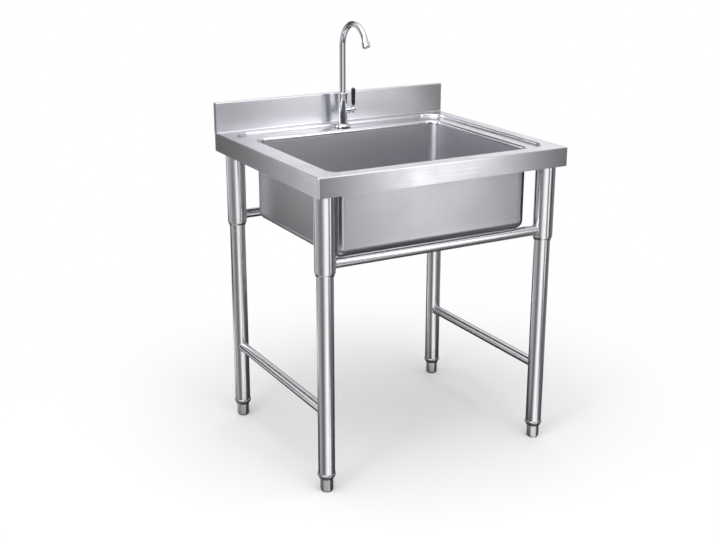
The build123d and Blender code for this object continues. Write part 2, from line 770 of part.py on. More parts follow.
# Spout: grooved spigot in the column, then a bent tube whose outlet leans out over the bowl
arch_end_forward = arch_radius * (1 + cos(tilt))
arch_end_z = arch_base + arch_radius * sin(tilt)
outlet_end_forward = arch_end_forward + spout_outlet_run * sin(tilt)
outlet_end_z = arch_end_z - spout_outlet_run * cos(tilt)
spout_plane = Plane((0, tap_y, 0), x_dir=(0, -1, 0), z_dir=(-1, 0, 0))
o_ring_radius = spigot_diameter / 2 - o_ring_section / 2
groove_heights = [tap_body_top - o_ring_first - i * o_ring_pitch for i in range(o_ring_count)]
with BuildPart() as spout:
    with BuildSketch(Plane((0, tap_y, tap_body_top))):
        Circle(spigot_diameter / 2)
        Circle(spigot_bore / 2, mode=Mode.SUBTRACT)
    extrude(amount=-spigot_length)
    for groove_z in groove_heights:
        with BuildSketch(Plane((0, tap_y, groove_z - o_ring_section / 2))):
            Circle(spigot_diameter / 2)
            Circle(o_ring_radius - o_ring_section / 2, mode=Mode.SUBTRACT)
        extrude(amount=o_ring_section, mode=Mode.SUBTRACT)
    with BuildSketch(Plane((0, tap_y, tap_body_top))):
        Circle(spout_radius)
        Circle(spigot_bore / 2, mode=Mode.SUBTRACT)
    extrude(amount=spout_plug_height)
    with BuildLine(spout_plane):
        Line((0, tap_body_top + spout_plug_height), (0, arch_base))
        CenterArc((arch_radius, arch_base), arch_radius, 180, spout_tilt - 180)
        Line((arch_end_forward, arch_end_z), (outlet_end_forward, outlet_end_z))
    with BuildSketch(Plane((0, tap_y, tap_body_top + spout_plug_height))):
        Circle(spout_radius)
        Circle(spout_radius - spout_wall, mode=Mode.SUBTRACT)
    sweep()
finish(spout, "spout")

with BuildPart() as o_rings:
    for groove_z in groove_heights:
        with BuildSketch(upright(0, tap_y)):
            with Locations((o_ring_radius, groove_z)):
                Circle(o_ring_section / 2)
        revolve(axis=vertical_axis(0, tap_y))
finish(o_rings, "spout_o_rings")

# Aerator screwed over the spout's end, with its screen
outlet_plane = Plane(
    (0, tap_y - outlet_end_forward, outlet_end_z),
    x_dir=(1, 0, 0),
    z_dir=(0, -sin(tilt), -cos(tilt)),
)
aerator_end = aerator_length - aerator_overlap
with BuildPart() as aerator:
    with BuildSketch(outlet_plane.offset(-aerator_overlap)):
        Circle(aerator_diameter / 2)
        Circle(spout_radius + running_gap, mode=Mode.SUBTRACT)
    extrude(amount=aerator_overlap)
    with BuildSketch(outlet_plane):
        Circle(aerator_diameter / 2)
        Circle(spout_radius - spout_wall, mode=Mode.SUBTRACT)
    extrude(amount=aerator_end)
    rims = aerator.edges().filter_by(GeomType.CIRCLE).group_by(SortBy.RADIUS)[-1]
    chamfer(rims, tap_edge)
finish(aerator, "aerator_housing")

screen_radius = spout_radius - spout_wall
with BuildPart() as aerator_screen:
    with BuildSketch(outlet_plane.offset(aerator_end - screen_recess - screen_thickness)):
        Circle(screen_radius)
        Circle(screen_hole / 2, mode=Mode.SUBTRACT)
        with PolarLocations(screen_radius * screen_ring_share, screen_ring_holes):
            Circle(screen_hole / 2, mode=Mode.SUBTRACT)
    extrude(amount=screen_thickness)
finish(aerator_screen, "aerator_screen")

# Quarter-turn valve on the column's side: cartridge, bonnet and turning stem
stem_start = valve_boss_reach - stem_socket
with BuildPart() as cartridge:
    with BuildSketch(valve_plane.offset(cartridge_seat)):
        Circle(cartridge_diameter / 2 - running_gap)
    extrude(amount=cartridge_length)
    with BuildSketch(valve_plane.offset(valve_boss_reach)):
        Circle(stem_diameter / 2 + running_gap)
    extrude(amount=-stem_socket, mode=Mode.SUBTRACT)
finish(cartridge, "valve_cartridge")

with BuildPart() as bonnet:
    with BuildSketch(valve_plane.offset(valve_boss_reach)):
        Circle(valve_boss_diameter / 2)
        Circle(stem_diameter / 2 + running_gap, mode=Mode.SUBTRACT)
    extrude(amount=bonnet_length)
    fillet(bonnet.faces().sort_by(Axis.X)[-1].outer_wire().edges(), bonnet_round)
finish(bonnet, "valve_bonnet")

with BuildPart() as stem:
    with BuildSketch(valve_plane.offset(stem_start + slip_gap)):
        Circle(stem_diameter / 2)
    extrude(amount=stem_end - stem_start - slip_gap)
    with BuildSketch(valve_plane.offset(stem_end)):
        Circle(lever_screw_diameter / 2)
    extrude(amount=-lever_screw_length, mode=Mode.SUBTRACT)
finish(stem, "valve_stem")

# Lever: ball hub on the stem, upright rod with a grip, fixing screw and index cap
with BuildPart() as lever_hub:
    with Locations((hub_x, tap_y, valve_z)):
        Sphere(hub_diameter / 2)
    with BuildSketch(Plane((hub_x, tap_y, valve_z))):
        Circle(hub_tail_diameter / 2)
    extrude(amount=-hub_tail_length)
    fillet(lever_hub.faces().sort_by(Axis.Z)[0].edges(), hub_tail_round)
    with BuildSketch(valve_plane.offset(hub_x)):
        Circle(index_cap_diameter / 2)
    extrude(amount=hub_diameter / 2)
    with BuildSketch(valve_plane.offset(hub_x - hub_diameter / 2)):
        Circle(stem_diameter / 2)
    extrude(amount=stem_end - hub_x + hub_diameter / 2, mode=Mode.SUBTRACT)
    with BuildSketch(valve_plane.offset(stem_end)):
        Circle(lever_screw_diameter / 2)
    extrude(amount=hub_wall, mode=Mode.SUBTRACT)
    with BuildSketch(Plane((hub_x, tap_y, valve_z + hub_diameter / 2))):
        Circle(lever_rod_diameter / 2)
    extrude(amount=-lever_rod_socket, mode=Mode.SUBTRACT)
finish(lever_hub, "lever_hub")

rod_bottom = valve_z + hub_diameter / 2 - lever_rod_socket
rod_top = valve_z + lever_height - grip_cap
with BuildPart() as lever_rod:
    with BuildSketch(Plane((hub_x, tap_y, rod_bottom))):
        Circle(lever_rod_diameter / 2)
    extrude(amount=rod_top - rod_bottom)
finish(lever_rod, "lever_rod")

grip_bottom = valve_z + grip_start
with BuildPart() as lever_grip:
    with BuildSketch(upright(hub_x, tap_y)):
        with BuildLine():
            Polyline(
                (grip_top_diameter / 2, rod_top),
                (grip_foot_diameter / 2, grip_bottom),
                (lever_rod_diameter / 2, grip_bottom),
                (lever_rod_diameter / 2, rod_top),
                (0, rod_top),
                (0, rod_top + grip_cap),
            )
            SagittaArc((0, rod_top + grip_cap), (grip_top_diameter / 2, rod_top), -grip_cap_bulge)
        make_face()
    revolve(axis=vertical_axis(hub_x, tap_y))
finish(lever_grip, "lever_grip")

with BuildPart() as lever_screw:
    with BuildSketch(valve_plane.offset(stem_end + hub_wall)):
        Circle(lever_screw_diameter / 2)
    extrude(amount=-hub_wall - lever_screw_length)
finish(lever_screw, "lever_screw")

with BuildPart() as index_cap:
    with BuildSketch(valve_plane.offset(hub_x + hub_diameter / 2)):
        Circle(index_cap_diameter / 2)
    extrude(amount=index_cap_thickness)
    fillet(index_cap.faces().sort_by(Axis.X)[-1].edges(), index_cap_round)
finish(index_cap, "lever_index_cap")
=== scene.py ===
"""Looks for a free-standing stainless sink: finishes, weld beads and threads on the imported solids,
a studio and the photograph's camera. Metres, +Z up, the user stands at negative Y."""

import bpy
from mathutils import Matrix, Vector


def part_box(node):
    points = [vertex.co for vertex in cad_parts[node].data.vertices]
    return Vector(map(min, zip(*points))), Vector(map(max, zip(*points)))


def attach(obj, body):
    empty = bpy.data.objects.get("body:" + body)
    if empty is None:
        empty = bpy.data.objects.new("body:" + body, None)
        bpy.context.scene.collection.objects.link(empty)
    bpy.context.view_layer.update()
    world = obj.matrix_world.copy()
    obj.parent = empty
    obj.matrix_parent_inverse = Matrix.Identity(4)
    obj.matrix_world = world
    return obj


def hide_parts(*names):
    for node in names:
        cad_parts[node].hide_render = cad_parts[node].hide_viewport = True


bl_info = {
    "name": "Commercial sink looks",
    "version": (1, 0, 0),
    "blender": (4, 5, 0),
    "location": "View3D > Sidebar > Sink",
    "description": "Finishes and fine detail for a free-standing stainless sink with a swan-neck tap",
    "category": "Object",
}

from math import cos, pi, radians, sin, sqrt

import bpy
from bpy.props import FloatProperty, FloatVectorProperty, PointerProperty
from mathutils import Vector

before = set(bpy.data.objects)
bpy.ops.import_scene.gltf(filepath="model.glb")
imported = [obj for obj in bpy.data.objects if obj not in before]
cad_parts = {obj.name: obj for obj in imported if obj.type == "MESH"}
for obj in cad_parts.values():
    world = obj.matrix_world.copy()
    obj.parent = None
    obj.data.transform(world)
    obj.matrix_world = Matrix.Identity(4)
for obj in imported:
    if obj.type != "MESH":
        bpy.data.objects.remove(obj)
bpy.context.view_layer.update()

ROOT = "sink_and_stand"
CORNERS = ("front_left", "front_right", "rear_left", "rear_right")
MM = 0.001
WHITE = (1, 1, 1, 1)
UP = (0, 0, 1)
# Across level brushing: up on upright faces, while on level ones only the small part along Y is left.
ACROSS_LEVEL_LINES = (0, 0.02, 1)
# A quarter turn in steps of ten degrees, for hollows and rounded edges.
QUARTER_TURN = [radians(a) for a in range(0, 91, 10)]
FINISHES = {}


def linear(code):
    """Linear RGB of an sRGB hex code."""
    channels = [int(code[i:i + 2], 16) / 255 for i in (1, 3, 5)]
    return [c / 12.92 if c <= 0.04045 else ((c + 0.055) / 1.055) ** 2.4 for c in channels]


def dimmed(colour, share):
    """That share of a linear colour."""
    return [c * share for c in colour]


def per_metre(millimetres):
    """Pattern scale that gives a feature of that real size."""
    return 1 / (millimetres * MM)


def node(tree, kind, sockets=None, **settings):
    """Adds a node, sets it up, and gives its sockets their values or links."""
    made = tree.nodes.new(kind)
    for name, value in settings.items():
        setattr(made, name, value)
    for key, value in (sockets or {}).items():
        if isinstance(value, bpy.types.NodeSocket):
            tree.links.new(value, made.inputs[key])
        else:
            made.inputs[key].default_value = value
    return made


def blank_material(name):
    """New material with an empty node tree and its output."""
    material = bpy.data.materials.new(name)
    material.use_nodes = True
    material.node_tree.nodes.clear()
    return material, material.node_tree, material.node_tree.nodes.new("ShaderNodeOutputMaterial")


def looked_at(tree):
    """One where the camera, a reflection or glass looks, and zero for light on its way."""
    ray = node(tree, "ShaderNodeLightPath").outputs
    shown = node(tree, "ShaderNodeMath", {0: ray["Is Camera Ray"], 1: ray["Is Glossy Ray"]},
                 operation="MAXIMUM")
    seen = node(tree, "ShaderNodeMath", {0: shown.outputs[0], 1: ray["Is Transmission Ray"]},
                operation="MAXIMUM")
    return seen.outputs[0]


def streaked_metal(name, colour, deep, roughness, spread, stretch, lay, grain, bump, vector=None):
    """Metal with fine tool lines. Stretch is the lines' size along X, Y and Z and bump their depth, in
    millimetres, lay the direction across the lines, in which reflections smear, grain how far they do, and
    spread the swing in roughness."""
    cloud_size, relief_strength = 90.0, 0.4
    material, tree, output = blank_material(name)
    place = vector(tree) if vector else node(tree, "ShaderNodeTexCoord").outputs["Object"]
    lines = node(tree, "ShaderNodeMapping", {"Vector": place, "Scale": [per_metre(s) for s in stretch]})
    fine = node(tree, "ShaderNodeTexNoise", {"Vector": lines.outputs["Vector"], "Scale": 1.0, "Detail": 3.0})
    cloud = node(tree, "ShaderNodeTexNoise", {"Vector": place, "Scale": per_metre(cloud_size), "Detail": 2.0})
    both = node(tree, "ShaderNodeMath", {0: fine.outputs["Fac"], 1: cloud.outputs["Fac"]}, operation="ADD")
    swing = {"Value": both.outputs[0], "From Min": 0.7, "From Max": 1.3}
    tone = node(tree, "ShaderNodeMapRange", swing)
    mixed = node(tree, "ShaderNodeMix", {
        "Factor": tone.outputs["Result"], "A": [*deep, 1], "B": [*colour, 1]}, data_type="RGBA")
    rough = node(tree, "ShaderNodeMapRange", {
        **swing, "To Min": roughness + spread, "To Max": roughness - spread})
    relief = node(tree, "ShaderNodeBump", {
        "Height": fine.outputs["Fac"], "Strength": relief_strength, "Distance": bump * MM})
    across = node(tree, "ShaderNodeCombineXYZ", dict(zip("XYZ", lay)))
    shader = node(tree, "ShaderNodeBsdfPrincipled", {
        "Base Color": mixed.outputs["Result"], "Metallic": 1.0, "Roughness": rough.outputs["Result"],
        "Anisotropic": grain, "Tangent": across.outputs["Vector"], "Normal": relief.outputs["Normal"]})
    tree.links.new(shader.outputs["BSDF"], output.inputs["Surface"])
    return material


def moulded(name, colour, worn, roughness, grit, bump, specular=0.5):
    """Moulded plastic or rubber with a faint bloom. Grit is the size of its tooled grain and bump the
    grain's depth, in millimetres."""
    bloom_size, spread, relief_strength = 14.0, 0.08, 0.5
    material, tree, output = blank_material(name)
    place = node(tree, "ShaderNodeTexCoord").outputs["Object"]
    fine = node(tree, "ShaderNodeTexNoise", {"Vector": place, "Scale": per_metre(grit), "Detail": 3.0})
    bloom = node(tree, "ShaderNodeTexNoise", {"Vector": place, "Scale": per_metre(bloom_size), "Detail": 3.0})
    mixed = node(tree, "ShaderNodeMix", {
        "Factor": bloom.outputs["Fac"], "A": [*colour, 1], "B": [*worn, 1]}, data_type="RGBA")
    rough = node(tree, "ShaderNodeMapRange", {
        "Value": fine.outputs["Fac"], "To Min": roughness - spread, "To Max": roughness + spread})
    relief = node(tree, "ShaderNodeBump", {
        "Height": fine.outputs["Fac"], "Strength": relief_strength, "Distance": bump * MM})
    shader = node(tree, "ShaderNodeBsdfPrincipled", {
        "Base Color": mixed.outputs["Result"], "Roughness": rough.outputs["Result"],
        "Specular IOR Level": specular, "Normal": relief.outputs["Normal"]})
    tree.links.new(shader.outputs["BSDF"], output.inputs["Surface"])
    return material


def grain_of_faces(tree):
    """Place along and across the brushing: level faces are brushed along X, upright ones level."""
    place = node(tree, "ShaderNodeTexCoord").outputs["Object"]
    x, y, z = node(tree, "ShaderNodeSeparateXYZ", {0: place}).outputs
    normal = node(tree, "ShaderNodeSeparateXYZ", {0: node(tree, "ShaderNodeNewGeometry").outputs["Normal"]})
    facing_up = node(tree, "ShaderNodeMath", {0: normal.outputs["Z"]}, operation="ABSOLUTE")
    level = node(tree, "ShaderNodeMapRange", {
        "Value": facing_up.outputs[0], "From Min": 0.45, "From Max": 0.75}).outputs["Result"]
    round_corner = node(tree, "ShaderNodeMath", {0: x, 1: y}, operation="ADD")
    along = node(tree, "ShaderNodeMix", {"Factor": level, "A": round_corner.outputs[0], "B": x})
    across = node(tree, "ShaderNodeMix", {"Factor": level, "A": z, "B": y})
    both = node(tree, "ShaderNodeCombineXYZ", {"X": along.outputs["Result"], "Y": across.outputs["Result"]})
    return both.outputs["Vector"]


def round_the_waste(tree):
    """Place in rings round the waste's axis, for spun pieces."""
    place = node(tree, "ShaderNodeTexCoord").outputs["Object"]
    centred = node(tree, "ShaderNodeVectorMath", {0: place, 1: middle("drain_body")}, operation="SUBTRACT")
    x, y, z = node(tree, "ShaderNodeSeparateXYZ", {0: centred.outputs[0]}).outputs
    flat = node(tree, "ShaderNodeCombineXYZ", {"X": x, "Y": y})
    radius = node(tree, "ShaderNodeVectorMath", {0: flat.outputs["Vector"]}, operation="LENGTH")
    return node(tree, "ShaderNodeCombineXYZ", {"X": radius.outputs["Value"], "Z": z}).outputs["Vector"]


def finishes(context):
    """All the finishes, by the record's slot, the way a piece was made or the run of a tube."""
    if FINISHES:
        return FINISHES
    sheet, tube, chrome = context.scene.sink_sheet, context.scene.sink_tube, context.scene.sink_chrome
    long, wide = sheet.grain_length / MM, sheet.grain_width / MM
    # Stainless sheet brushed on a belt: soft grey sheen, reflections smeared across level lines. The belt's
    # lines are a tenth of a millimetre wide, too fine to show, so they are drawn at the grain width.
    FINISHES["brushed_sheet"] = streaked_metal(
        "Stainless sheet, belt brushed", sheet.colour, dimmed(sheet.colour, 0.86),
        roughness=sheet.roughness, spread=0.04, stretch=(long, wide, wide), lay=ACROSS_LEVEL_LINES,
        grain=0.7, bump=0.02, vector=grain_of_faces)
    # The splashback's sheet is brushed the same way and blasted after folding, so it mirrors less.
    FINISHES["folded_sheet"] = streaked_metal(
        "Stainless sheet, belt brushed and satin blasted", sheet.colour, dimmed(sheet.colour, 0.92),
        roughness=sheet.roughness + 0.09, spread=0.03, stretch=(long, wide, wide), lay=ACROSS_LEVEL_LINES,
        grain=0.85, bump=0.008, vector=grain_of_faces)
    # The bowl is drawn from the same sheet, rougher and with longer streaks; its colour is darker than the
    # sheet's as painted shade, for the bowl hanging under the worktop.
    FINISHES["drawn_bowl"] = streaked_metal(
        "Stainless sheet, drawn and satin polished", dimmed(sheet.colour, 0.88), dimmed(sheet.colour, 0.81),
        roughness=sheet.roughness + 0.08, spread=0.02, stretch=(1.6 * long, 1.3 * wide, wide),
        lay=ACROSS_LEVEL_LINES, grain=0.6, bump=0.008, vector=grain_of_faces)
    # Stainless tube polished between turning belts: bright, with light drawn out along the tube. The rings
    # are too fine to show and are drawn at the line width.
    line, around = tube.line_width / MM, 30.0
    for run, lay in (("x", (1, 0, 0)), ("y", (0, 1, 0)), ("z", UP)):
        FINISHES["polished_tube_" + run] = streaked_metal(
            f"Stainless tube along {run}, belt polished", tube.colour, dimmed(tube.colour, 0.93),
            roughness=tube.roughness, spread=0.03, stretch=[line if axis else around for axis in lay],
            lay=lay, grain=0.5, bump=0.01)
    # Rolled steel left as it came from the mill: cloudy, dull grey.
    FINISHES["plain_steel"] = streaked_metal(
        "Stainless steel, mill finish", linear("#a9aaad"), linear("#8f9093"),
        roughness=0.42, spread=0.08, stretch=(6.0, 1.5, 6.0), lay=ACROSS_LEVEL_LINES, grain=0.2, bump=0.03)
    # Cast and turned feet: satin, with a slight sandy tooth.
    FINISHES["cast_foot"] = streaked_metal(
        "Stainless steel, cast and turned", linear("#c3c3c4"), linear("#9c9c9f"),
        roughness=0.35, spread=0.06, stretch=(2.5, 2.5, 0.5), lay=UP, grain=0.3, bump=0.05)
    # Pressed waste parts spun on a lathe: fine rings round the waste's axis.
    FINISHES["satin_waste"] = streaked_metal(
        "Stainless steel, pressed and spun", linear("#cfcfd2"), linear("#b2b2b6"),
        roughness=0.21, spread=0.05, stretch=(0.5, 9.0, 2.0), lay=ACROSS_LEVEL_LINES, grain=0.3, bump=0.02,
        vector=round_the_waste)
    # Bright chrome on brass: nearly a mirror, with the faint softness of old polish.
    FINISHES["chrome_plate"] = streaked_metal(
        "Brass, chrome plated and buffed", chrome.colour, dimmed(chrome.colour, 0.95),
        roughness=chrome.roughness, spread=0.02, stretch=(12.0, 12.0, 5.0), lay=UP, grain=0.0, bump=0.004)
    # Turned brass under the worktop: warm, with rings from the tool.
    FINISHES["brass"] = streaked_metal(
        "Brass, turned", linear("#cfae6b"), linear("#b08b48"),
        roughness=0.34, spread=0.05, stretch=(5.0, 5.0, 0.4), lay=UP, grain=0.3, bump=0.03)
    # Weld metal after pickling: a little rougher and darker than the tube, mottled between its ripples.
    FINISHES["weld"] = streaked_metal(
        "Stainless weld, pickled", linear("#c4c4c6"), linear("#9a9a9c"),
        roughness=0.36, spread=0.07, stretch=(1.2, 1.2, 1.2), lay=UP, grain=0.0, bump=0.08)
    # Black grip: glossy moulded plastic that shows a sharp light along its side.
    FINISHES["black_grip"] = moulded(
        "ABS, moulded black", linear("#17171a"), linear("#232327"), roughness=0.2, grit=0.4, bump=0.006)
    # Seals: dull black rubber with a grey bloom.
    FINISHES["black_rubber"] = moulded(
        "Nitrile rubber, moulded", linear("#1c1c1d"), linear("#2c2c2d"),
        roughness=0.68, grit=0.6, bump=0.03, specular=0.3)
    # Nuts and washers: pale waxy plastic with a fine moulded grain.
    FINISHES["white_plastic"] = moulded(
        "Polypropylene, moulded", linear("#e6e5df"), linear("#d6d5ce"), roughness=0.42, grit=0.5, bump=0.02)
    return FINISHES


def paint(finish, *names):
    """Gives CAD nodes their finish."""
    for name in names:
        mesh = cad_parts[name].data
        mesh.materials.clear()
        mesh.materials.append(finish)


def piece(name, shape, finish, body, slot, *stands_for, sharp=35.0):
    """Makes a mesh piece that rides on a body, and hides the CAD nodes it stands for. Edges that turn by more
    than sharp degrees stay crisp."""
    mesh = bpy.data.meshes.new(name)
    mesh.from_pydata(shape[0], [], shape[1])
    mesh.shade_smooth()
    mesh.set_sharp_from_angle(angle=radians(sharp))
    mesh.materials.append(finish)
    made = bpy.data.objects.new(name, mesh)
    bpy.context.scene.collection.objects.link(made)
    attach(made, body)
    if stands_for:
        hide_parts(*stands_for)


def middle(name):
    """Middle of a CAD node's box."""
    low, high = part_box(name)
    return (low + high) / 2


def joined(*shapes):
    """Several shapes as one."""
    points, faces = [], []
    for more_points, more_faces in shapes:
        faces += [[i + len(points) for i in face] for face in more_faces]
        points += list(more_points)
    return points, faces


def skin(rows, closed_rows=False):
    """Faces over rows of equally many points, each row a closed ring. The ends are capped unless the last row
    joins the first."""
    count = len(rows[0])
    points = [p for row in rows for p in row]
    faces = []
    last = len(rows) if closed_rows else len(rows) - 1
    for r in range(last):
        low, high = r * count, (r + 1) % len(rows) * count
        faces += [[low + i, low + (i + 1) % count, high + (i + 1) % count, high + i] for i in range(count)]
    if not closed_rows:
        faces.append(list(range(count))[::-1])
        faces.append([(len(rows) - 1) * count + i for i in range(count)])
    return points, faces


def turns(count):
    """Angles of equally many points round a circle."""
    return [2 * pi * i / count for i in range(count)]


def bead(path, radius, ripple, pitch=4 * MM, sides=10):
    """Round bead along a closed path of points, with the ripples of a weld."""
    nearly_upright = 0.9
    rows, run = [], 0.0
    for i, here in enumerate(path):
        ahead = path[(i + 1) % len(path)] - path[i - 1]
        upright = abs(ahead.normalized().z) > nearly_upright
        side = ahead.orthogonal() if upright else ahead.cross(Vector(UP))
        side.normalize()
        up = side.cross(ahead).normalized()
        size = radius * (1 + ripple * sin(2 * pi * run / pitch))
        rows.append([here + size * (cos(t) * side + sin(t) * up) for t in turns(sides)])
        run += (path[(i + 1) % len(path)] - here).length
    return skin(rows, closed_rows=True)


def saddle(centre, out, tube, bar, count=72):
    """Closed path where a level bar of that radius meets an upright tube of that radius."""
    out = Vector(out)
    side = Vector((-out.y, out.x, 0))
    path = []
    for turn in turns(count):
        off, rise = bar * cos(turn), bar * sin(turn)
        path.append(centre + side * off + Vector((0, 0, rise)) + out * sqrt(tube * tube - off * off))
    return path


def thread(spot, root, crest, low, high, pitch, count, steps=8):
    """Screw thread round the upright axis through a spot, as rows of points, so many steps to each turn. It
    runs out over a turn at both ends."""
    rows = []
    total = max(2, round((high - low) / pitch * steps))
    for r in range(total + 1):
        z = low + (high - low) * r / total
        ease = min(1.0, r / steps, (total - r) / steps)
        row = []
        for i, turn in enumerate(turns(count)):
            wave = abs(((z - low) / pitch - i / count) % 1.0 - 0.5) * 2
            radius = root + (crest - root) * ease * wave
            row.append((spot.x + radius * cos(turn), spot.y + radius * sin(turn), z))
        rows.append(row)
    return rows


def threaded_tube(spot, tube, height, low, high, pitch, count):
    """Thread of that height on an upright tube of that radius, with its inner wall sunk into the tube."""
    proud, sunk = 0.05 * MM, 1 * MM
    rows = thread(spot, tube + proud, tube + height, low, high, pitch, count)
    inner = tube - sunk
    wall = [(spot.x + inner * cos(t), spot.y + inner * sin(t)) for t in turns(count)]
    rows += [[(x, y, z) for x, y in wall] for z in (high, low)]
    return skin(rows, closed_rows=True)


class SheetFinish(bpy.types.PropertyGroup):
    """Brushed sheet of the worktop, splashback and bowl."""
    colour: FloatVectorProperty(
        name="Colour", description="Colour of the bare metal", subtype="COLOR",
        default=linear("#cfcfd4"), min=0, max=1)
    grain_length: FloatProperty(
        name="Grain length", description="Length of a brushed line", subtype="DISTANCE", unit="LENGTH",
        default=170 * MM)
    grain_width: FloatProperty(
        name="Grain width", description="Width of a brushed line", subtype="DISTANCE", unit="LENGTH",
        default=1.7 * MM)
    roughness: FloatProperty(
        name="Roughness", description="Mean roughness of the brushed face", subtype="FACTOR",
        default=0.22, min=0, max=1)


class TubeFinish(bpy.types.PropertyGroup):
    """Polished tube of the stand."""
    colour: FloatVectorProperty(
        name="Colour", description="Colour of the bare metal", subtype="COLOR",
        default=linear("#d2d2d6"), min=0, max=1)
    line_width: FloatProperty(
        name="Line width", description="Width of a polishing ring", subtype="DISTANCE", unit="LENGTH",
        default=0.6 * MM)
    roughness: FloatProperty(
        name="Roughness", description="Mean roughness of the polished tube", subtype="FACTOR",
        default=0.19, min=0, max=1)


class ChromeFinish(bpy.types.PropertyGroup):
    """Chrome plate of the tap."""
    colour: FloatVectorProperty(
        name="Colour", description="Colour of the plate", subtype="COLOR",
        default=linear("#c4c6c9"), min=0, max=1)
    roughness: FloatProperty(
        name="Roughness", description="Mean roughness of the plate", subtype="FACTOR",
        default=0.05, min=0, max=1)


class FineDetail(bpy.types.PropertyGroup):
    """Welds and threads that the solids leave plain."""
    bead: FloatProperty(
        name="Weld bead", description="Radius of the beads on the tubes", subtype="DISTANCE", unit="LENGTH",
        default=1.7 * MM)
    ripple: FloatProperty(
        name="Ripple", description="Share by which the torch's ripples swell a bead", subtype="FACTOR",
        default=0.12, min=0, max=0.5)
    foot_pitch: FloatProperty(
        name="Foot thread", description="Pitch of the feet's studs", subtype="DISTANCE", unit="LENGTH",
        default=1.75 * MM)
    pipe_pitch: FloatProperty(
        name="Pipe thread", description="Pitch of the pipe threads", subtype="DISTANCE", unit="LENGTH",
        default=1.8 * MM)


class Studio(bpy.types.PropertyGroup):
    """Light, floor and camera."""
    lens: FloatProperty(
        name="Lens", description="Focal length of the camera", subtype="DISTANCE_CAMERA", unit="CAMERA",
        default=59.04)
    floor: FloatVectorProperty(
        name="Floor", description="Colour of the floor", subtype="COLOR",
        default=linear("#f6f6f6"), min=0, max=1)
    fill: FloatProperty(
        name="Fill", description="Strength of the even light all round", default=0.72, min=0)


class SINK_OT_worktop(bpy.types.Operator):
    """Finishes the worktop, splashback and bowl, with the welds that join them"""
    bl_idname = "sink.worktop"
    bl_label = "Worktop and bowl"

    def execute(self, context):
        finish, detail = finishes(context), context.scene.sink_detail
        paint(finish["brushed_sheet"], "deck")
        paint(finish["folded_sheet"], "splashback")
        # The bowl's colour is set darker than the sheet's: painted shade.
        paint(finish["drawn_bowl"], "bowl")
        piece("splashback_cove", self.cove(), finish["brushed_sheet"], ROOT, "brushed_sheet", sharp=40)
        piece("bowl_seam_weld", self.seam(detail), finish["weld"], ROOT, "brushed_sheet")
        return {"FINISHED"}

    def cove(self):
        """Hollow fillet along the splashback's foot, a little short of its ends."""
        reach, short = 3 * MM, 1.5 * MM
        low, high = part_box("splashback")
        outline = [(low.y - reach * (1 - cos(a)), low.z + reach * (1 - sin(a))) for a in QUARTER_TURN]
        outline.append((low.y, low.z))
        return skin([[(x, y, z) for y, z in outline] for x in (low.x + short, high.x - short)])

    def seam(self, detail):
        """Weld round the bowl's top edge, cut fine enough for the ripples."""
        corner, arc_steps, cut, ripple_pitch, share = 31.2 * MM, 16, 2 * MM, 5 * MM, 0.8
        low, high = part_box("bowl")
        path = []
        for x, y, start in ((high.x - corner, high.y - corner, 0), (low.x + corner, high.y - corner, 90),
                            (low.x + corner, low.y + corner, 180), (high.x - corner, low.y + corner, 270)):
            angles = [radians(start + 90 * i / arc_steps) for i in range(arc_steps + 1)]
            path += [Vector((x + corner * cos(a), y + corner * sin(a), high.z)) for a in angles]
        fine = []
        for here, ahead in zip(path, path[1:] + path[:1]):
            cuts = max(1, round((ahead - here).length / cut))
            fine += [here.lerp(ahead, i / cuts) for i in range(cuts)]
        return bead(fine, share * detail.bead, detail.ripple, ripple_pitch, sides=8)


class SINK_OT_stand(bpy.types.Operator):
    """Finishes the tube stand and lays the weld beads at its joints"""
    bl_idname = "sink.stand"
    bl_label = "Tube stand"

    def execute(self, context):
        finish, detail = finishes(context), context.scene.sink_detail
        paint(finish["polished_tube_z"], *[f"leg_sleeve_{c}" for c in CORNERS],
              *[f"lower_leg_{c}" for c in CORNERS])
        paint(finish["polished_tube_x"], "front_crossbar", "rear_crossbar")
        paint(finish["polished_tube_y"], "left_side_rail", "right_side_rail")
        paint(finish["plain_steel"], "channel_left", "channel_right", "flange_nuts", "leg_lock_screws",
              *[f"leg_flange_{c}" for c in CORNERS])
        joints = [(f"{end}_crossbar", f"leg_sleeve_{end}_{side}", (out, 0, 0))
                  for end in ("front", "rear") for side, out in (("left", 1), ("right", -1))]
        joints += [(f"{side}_side_rail", f"lower_leg_{end}_{side}", (0, out, 0))
                   for side in ("left", "right") for end, out in (("front", 1), ("rear", -1))]
        beads = []
        for bar, tube, out in joints:
            (bar_low, bar_high), (tube_low, tube_high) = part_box(bar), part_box(tube)
            spot = middle(tube)
            spot.z = middle(bar).z
            path = saddle(spot, out, (tube_high.x - tube_low.x) / 2, (bar_high.z - bar_low.z) / 2)
            beads.append(bead(path, detail.bead, detail.ripple))
        piece("stand_weld_beads", joined(*beads), finish["weld"], ROOT, "polished_tube")
        return {"FINISHED"}


